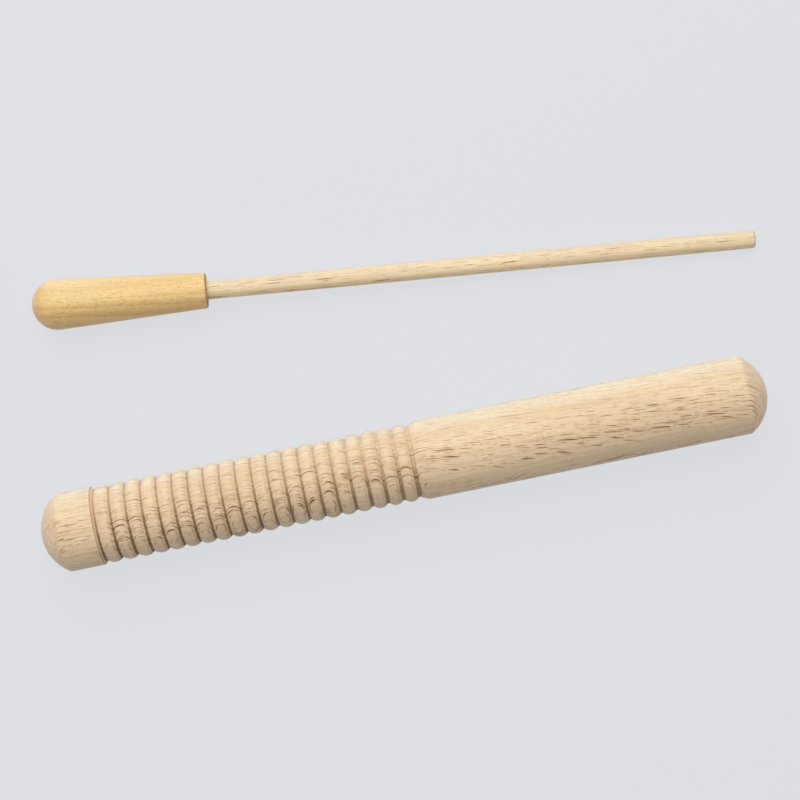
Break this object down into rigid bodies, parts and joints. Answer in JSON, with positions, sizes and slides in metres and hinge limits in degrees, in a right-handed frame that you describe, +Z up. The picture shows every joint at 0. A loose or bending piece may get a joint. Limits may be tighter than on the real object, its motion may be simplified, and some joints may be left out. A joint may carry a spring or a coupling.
{
  "type": "rhythm stick",
  "caption": "Turned wooden rhythm stick with a ribbed half and a plain barrel, and a loose beater with a tapered handle whose rod is rubbed over the ribs or struck on the barrel.",
  "frame": {"origin": "on the table, under the middle of the box round the stick and the beater", "axes": "+X along the stick, from its ribbed end to its plain end; +Y from the stick towards the beater; +Z up from the table"},
  "size_m": [0.2878, 0.1098, 0.03],
  "materials": {
    "stick_wood": "natural, smooth sanded, matt",
    "rod_wood": "natural, smooth sanded, matt",
    "handle_wood": "clear golden lacquer, satin"
  },
  "bodies": {
    "stick": {"ribbed_stick": "stick_wood"},
    "beater": {"beater_handle": "handle_wood", "beater_rod": "rod_wood"}
  },
  "joints": [
    {"name": "beater_lift", "type": "slide", "parent": "stick", "child": "beater", "axis": [0, 0, 1], "range_m": [0, 0.15]}
  ]
}
